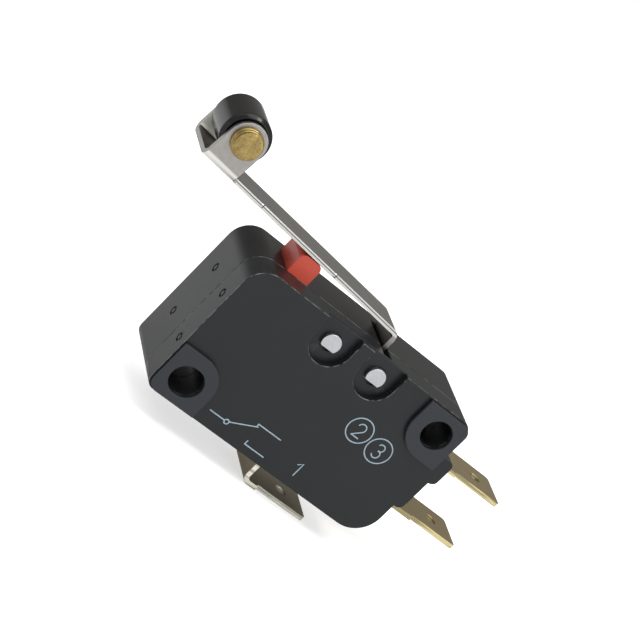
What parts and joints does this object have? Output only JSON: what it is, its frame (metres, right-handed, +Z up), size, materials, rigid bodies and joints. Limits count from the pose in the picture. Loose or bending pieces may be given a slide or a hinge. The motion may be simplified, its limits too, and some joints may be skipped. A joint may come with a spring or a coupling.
{
  "type": "lever micro switch",
  "caption": "Snap-action switch in a flat black two-part case, worked by a hinged steel lever with a roller at its free end, with blade terminals for push-on connectors.",
  "frame": {"origin": "axis of the round mounting hole, on the face of the front boss round it", "axes": "+X along the case towards the two end blades, +Y from the cover to the back of the case, +Z up to the side the plunger and the lever stand on"},
  "size_m": [0.0476, 0.0103, 0.0279],
  "materials": {
    "housing": "moulded, satin",
    "plunger_red": "moulded, satin",
    "spring_wire": "drawn wire",
    "blade_metal": "stamped sheet, lightly plated, bright sheared edges",
    "contact_silver": "silver, domed",
    "arm_bronze": "rolled strip",
    "pin_steel": "ground end",
    "lever_steel": "stamped sheet, bright edges",
    "roller_black": "turned, satin",
    "axle_brass": "turned and riveted"
  },
  "bodies": {
    "case": {"base": "housing", "cover": "housing", "common_terminal": "blade_metal", "upper_terminal": "blade_metal", "lower_terminal": "blade_metal", "upper_contact": "contact_silver", "lower_contact": "contact_silver", "pivot_pins": "pin_steel", "return_spring": "spring_wire"},
    "lever": {"roller_lever": "lever_steel", "roller_axle": "axle_brass"},
    "roller": {"roller": "roller_black"},
    "plunger": {"plunger": "plunger_red", "tension_spring": "spring_wire"},
    "arm": {"contact_arm": "arm_bronze", "moving_contact": "contact_silver"}
  },
  "joints": [
    {"name": "lever_hinge", "type": "hinge", "parent": "case", "child": "lever", "pos_m": [-0.0084, 0.0061, 0.00055], "axis": [0, -1, 0], "range_deg": [0, 7], "stiffness_Nm_per_rad": 0.04, "springref_deg": -8.02},
    {"name": "roller_spin", "type": "hinge", "parent": "lever", "child": "roller", "pos_m": [-0.03273, 0.0061, 0.00957], "axis": [0, 1, 0], "continuous": true},
    {"name": "plunger_slide", "type": "slide", "parent": "case", "child": "plunger", "axis": [0, 0, -1], "range_m": [0, 0.00139], "deforming": ["tension_spring", "return_spring"]},
    {"name": "arm_hinge", "type": "hinge", "parent": "case", "child": "arm", "pos_m": [-0.0161, 0.0061, -0.00455], "axis": [0, 1, 0], "range_deg": [0, 2.98]}
  ],
  "couplings": [
    {"joint": "plunger_slide", "follows": "lever_hinge", "m_per_rad": 0.01135},
    {"joint": "arm_hinge", "follows": "lever_hinge", "ratio": 0.42446}
  ]
}
